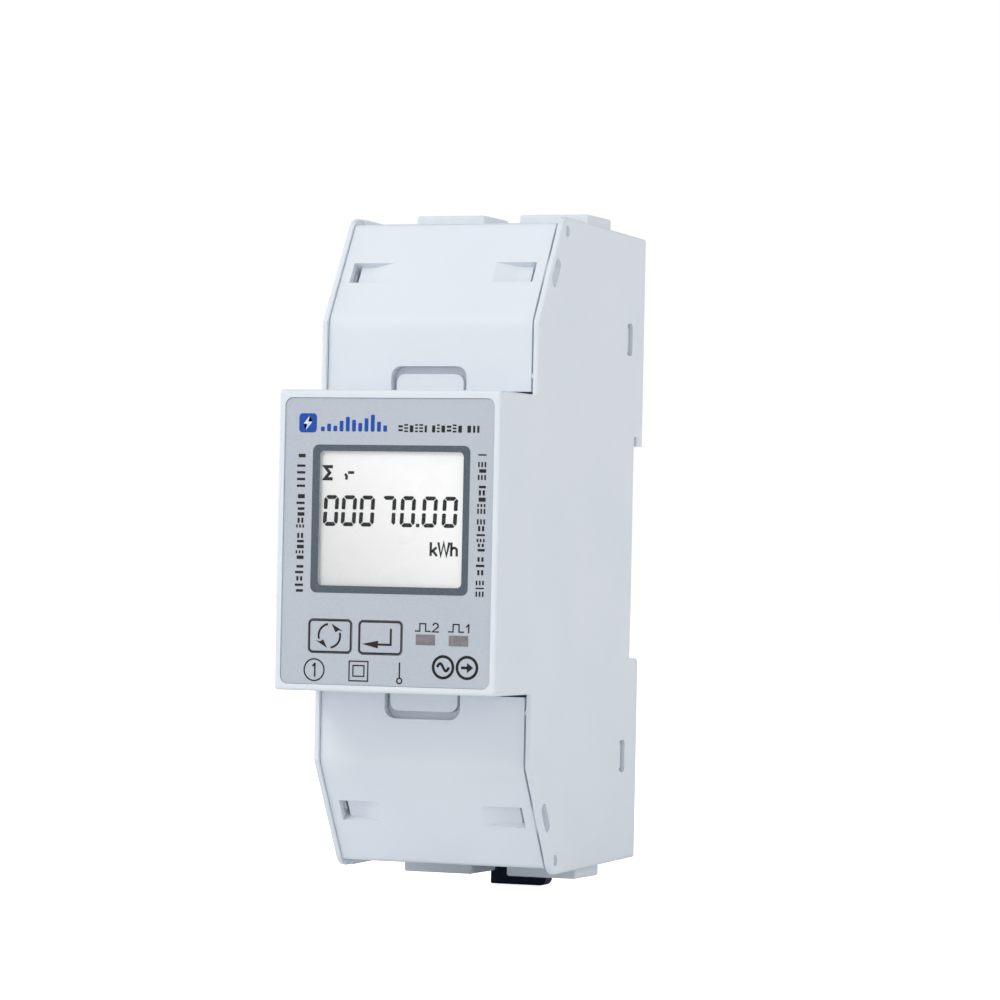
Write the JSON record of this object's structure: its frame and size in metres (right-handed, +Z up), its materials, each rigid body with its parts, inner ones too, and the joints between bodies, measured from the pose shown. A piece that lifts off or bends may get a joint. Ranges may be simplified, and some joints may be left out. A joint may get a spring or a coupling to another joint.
{
  "type": "electricity meter",
  "caption": "Two-module electricity meter for a 35 mm rail: white housing, raised front with display and keys, hinged terminal covers, screw terminals and a sprung rail clip.",
  "frame": {"origin": "centre of the face that lies on the rail: mid width, rail centre line", "axes": "+X to the right seen from the front, +Y to the rear into the rail, +Z up along the height"},
  "size_m": [0.036, 0.063, 0.1075],
  "materials": {
    "housing_white": "fine moulded grain, cool white",
    "clip_black": "glass-filled, fine grain",
    "spring_steel": "drawn wire",
    "label_foil": "satin printed polyester foil",
    "window_clear": "clear polycarbonate",
    "display_glass": "white-backed liquid crystal glass",
    "light_guide": "milky acrylic",
    "frame_grey": "moulded",
    "tinned_pins": "tinned",
    "light_pipe": "smoke-grey translucent",
    "led_body": "clear red lens",
    "switch_black": "moulded",
    "circuit_board": "green solder mask over glass epoxy",
    "zinc_steel": "zinc plated",
    "chip_black": "moulded epoxy",
    "connector_white": "nylon",
    "ribbon_grey": "ribbed vinyl",
    "can_steel": "drawn can",
    "capacitor_blue": "dipped box",
    "capacitor_sleeve": "shrink sleeve",
    "varistor_blue": "epoxy dipped",
    "ferrite": "sintered",
    "coupler_white": "moulded",
    "bar_brass": "rolled",
    "shunt_alloy": "copper-manganese alloy",
    "block_green": "moulded nylon",
    "key_grey": "satin, same colour as the label",
    "clamp_steel": "zinc plated, pressed"
  },
  "bodies": {
    "housing": {"board_screws": "zinc_steel", "clip_spring": "spring_steel", "crystal": "can_steel", "current_shunt": "shunt_alloy", "data_terminal_block": "block_green", "display_board": "circuit_board", "display_window": "window_clear", "electrolytic_capacitors": "capacitor_sleeve", "film_capacitor": "capacitor_blue", "front_label": "label_foil", "housing_shell": "housing_white", "lcd_backlight": "light_guide", "lcd_holder": "frame_grey", "lcd_panel": "display_glass", "lcd_pins": "tinned_pins", "light_pipes": "light_pipe", "live_in_bar": "bar_brass", "live_out_bar": "bar_brass", "metering_chip": "chip_black", "microcontroller": "chip_black", "neutral_bar": "bar_brass", "optocouplers": "coupler_white", "power_board": "circuit_board", "pulse_lights": "led_body", "pulse_terminal_block": "block_green", "rear_base": "housing_white", "ribbon_cable": "ribbon_grey", "ribbon_connectors": "connector_white", "supply_transformer": "ferrite", "tact_switches": "switch_black", "tap_pins": "tinned_pins", "varistor": "varistor_blue"},
    "upper_cover": {"upper_terminal_cover": "housing_white"},
    "lower_cover": {"lower_terminal_cover": "housing_white"},
    "clip": {"rail_clip": "clip_black"},
    "scroll_button": {"scroll_key": "key_grey", "scroll_switch_button": "switch_black"},
    "enter_button": {"enter_key": "key_grey", "enter_switch_button": "switch_black"},
    "neutral_out_screw": {"neutral_out_screw": "zinc_steel"},
    "neutral_out_clamp": {"neutral_out_clamp": "clamp_steel"},
    "neutral_in_screw": {"neutral_in_screw": "zinc_steel"},
    "neutral_in_clamp": {"neutral_in_clamp": "clamp_steel"},
    "live_out_screw": {"live_out_screw": "zinc_steel"},
    "live_out_clamp": {"live_out_clamp": "clamp_steel"},
    "live_in_screw": {"live_in_screw": "zinc_steel"},
    "live_in_clamp": {"live_in_clamp": "clamp_steel"},
    "pulse_screw_1": {"pulse_screw_1": "zinc_steel"},
    "pulse_screw_2": {"pulse_screw_2": "zinc_steel"},
    "pulse_screw_3": {"pulse_screw_3": "zinc_steel"},
    "pulse_screw_4": {"pulse_screw_4": "zinc_steel"},
    "data_screw_1": {"data_screw_1": "zinc_steel"},
    "data_screw_2": {"data_screw_2": "zinc_steel"},
    "data_screw_3": {"data_screw_3": "zinc_steel"}
  },
  "joints": [
    {"name": "upper_cover_hinge", "type": "hinge", "parent": "housing", "child": "upper_cover", "pos_m": [0, -0.0323, 0.0485], "axis": [-1, 0, 0], "range_deg": [0, 95]},
    {"name": "lower_cover_hinge", "type": "hinge", "parent": "housing", "child": "lower_cover", "pos_m": [0, -0.0323, -0.0485], "axis": [1, 0, 0], "range_deg": [0, 95]},
    {"name": "clip_slide", "type": "slide", "parent": "housing", "child": "clip", "axis": [0, 0, -1], "range_m": [0, 0.0035], "stiffness_N_per_m": 600, "springref_m": -0.002, "deforming": ["clip_spring"]},
    {"name": "scroll_key_press", "type": "slide", "parent": "housing", "child": "scroll_button", "axis": [0, 1, 0], "range_m": [0, 0.0004], "stiffness_N_per_m": 2000, "springref_m": -0.0003},
    {"name": "enter_key_press", "type": "slide", "parent": "housing", "child": "enter_button", "axis": [0, 1, 0], "range_m": [0, 0.0004], "stiffness_N_per_m": 2000, "springref_m": -0.0003},
    {"name": "neutral_out_screw_turn", "type": "hinge", "parent": "housing", "child": "neutral_out_screw", "pos_m": [-0.0078, -0.033, 0.0355], "axis": [0, 1, 0], "range_deg": [0, 2340]},
    {"name": "neutral_out_clamp_lift", "type": "slide", "parent": "housing", "child": "neutral_out_clamp", "axis": [0, -1, 0], "range_m": [0, 0.0065]},
    {"name": "neutral_in_screw_turn", "type": "hinge", "parent": "housing", "child": "neutral_in_screw", "pos_m": [-0.0078, -0.033, -0.0355], "axis": [0, 1, 0], "range_deg": [0, 2340]},
    {"name": "neutral_in_clamp_lift", "type": "slide", "parent": "housing", "child": "neutral_in_clamp", "axis": [0, -1, 0], "range_m": [0, 0.0065]},
    {"name": "live_out_screw_turn", "type": "hinge", "parent": "housing", "child": "live_out_screw", "pos_m": [0.0098, -0.033, 0.0355], "axis": [0, 1, 0], "range_deg": [0, 2340]},
    {"name": "live_out_clamp_lift", "type": "slide", "parent": "housing", "child": "live_out_clamp", "axis": [0, -1, 0], "range_m": [0, 0.0065]},
    {"name": "live_in_screw_turn", "type": "hinge", "parent": "housing", "child": "live_in_screw", "pos_m": [0.0098, -0.033, -0.0355], "axis": [0, 1, 0], "range_deg": [0, 2340]},
    {"name": "live_in_clamp_lift", "type": "slide", "parent": "housing", "child": "live_in_clamp", "axis": [0, -1, 0], "range_m": [0, 0.0065]},
    {"name": "pulse_screw_1_turn", "type": "hinge", "parent": "housing", "child": "pulse_screw_1", "pos_m": [-0.00425, -0.03, 0.0447], "axis": [0, 1, 0], "range_deg": [-1170, 0]},
    {"name": "pulse_screw_2_turn", "type": "hinge", "parent": "housing", "child": "pulse_screw_2", "pos_m": [-0.00075, -0.03, 0.0447], "axis": [0, 1, 0], "range_deg": [-1170, 0]},
    {"name": "pulse_screw_3_turn", "type": "hinge", "parent": "housing", "child": "pulse_screw_3", "pos_m": [0.00275, -0.03, 0.0447], "axis": [0, 1, 0], "range_deg": [-1170, 0]},
    {"name": "pulse_screw_4_turn", "type": "hinge", "parent": "housing", "child": "pulse_screw_4", "pos_m": [0.00625, -0.03, 0.0447], "axis": [0, 1, 0], "range_deg": [-1170, 0]},
    {"name": "data_screw_1_turn", "type": "hinge", "parent": "housing", "child": "data_screw_1", "pos_m": [-0.0025, -0.03, -0.0447], "axis": [0, 1, 0], "range_deg": [-1170, 0]},
    {"name": "data_screw_2_turn", "type": "hinge", "parent": "housing", "child": "data_screw_2", "pos_m": [0.001, -0.03, -0.0447], "axis": [0, 1, 0], "range_deg": [-1170, 0]},
    {"name": "data_screw_3_turn", "type": "hinge", "parent": "housing", "child": "data_screw_3", "pos_m": [0.0045, -0.03, -0.0447], "axis": [0, 1, 0], "range_deg": [-1170, 0]}
  ],
  "couplings": [
    {"joint": "neutral_out_screw_turn", "follows": "neutral_out_clamp_lift", "rad_per_m": 6283},
    {"joint": "neutral_in_screw_turn", "follows": "neutral_in_clamp_lift", "rad_per_m": 6283},
    {"joint": "live_out_screw_turn", "follows": "live_out_clamp_lift", "rad_per_m": 6283},
    {"joint": "live_in_screw_turn", "follows": "live_in_clamp_lift", "rad_per_m": 6283}
  ]
}
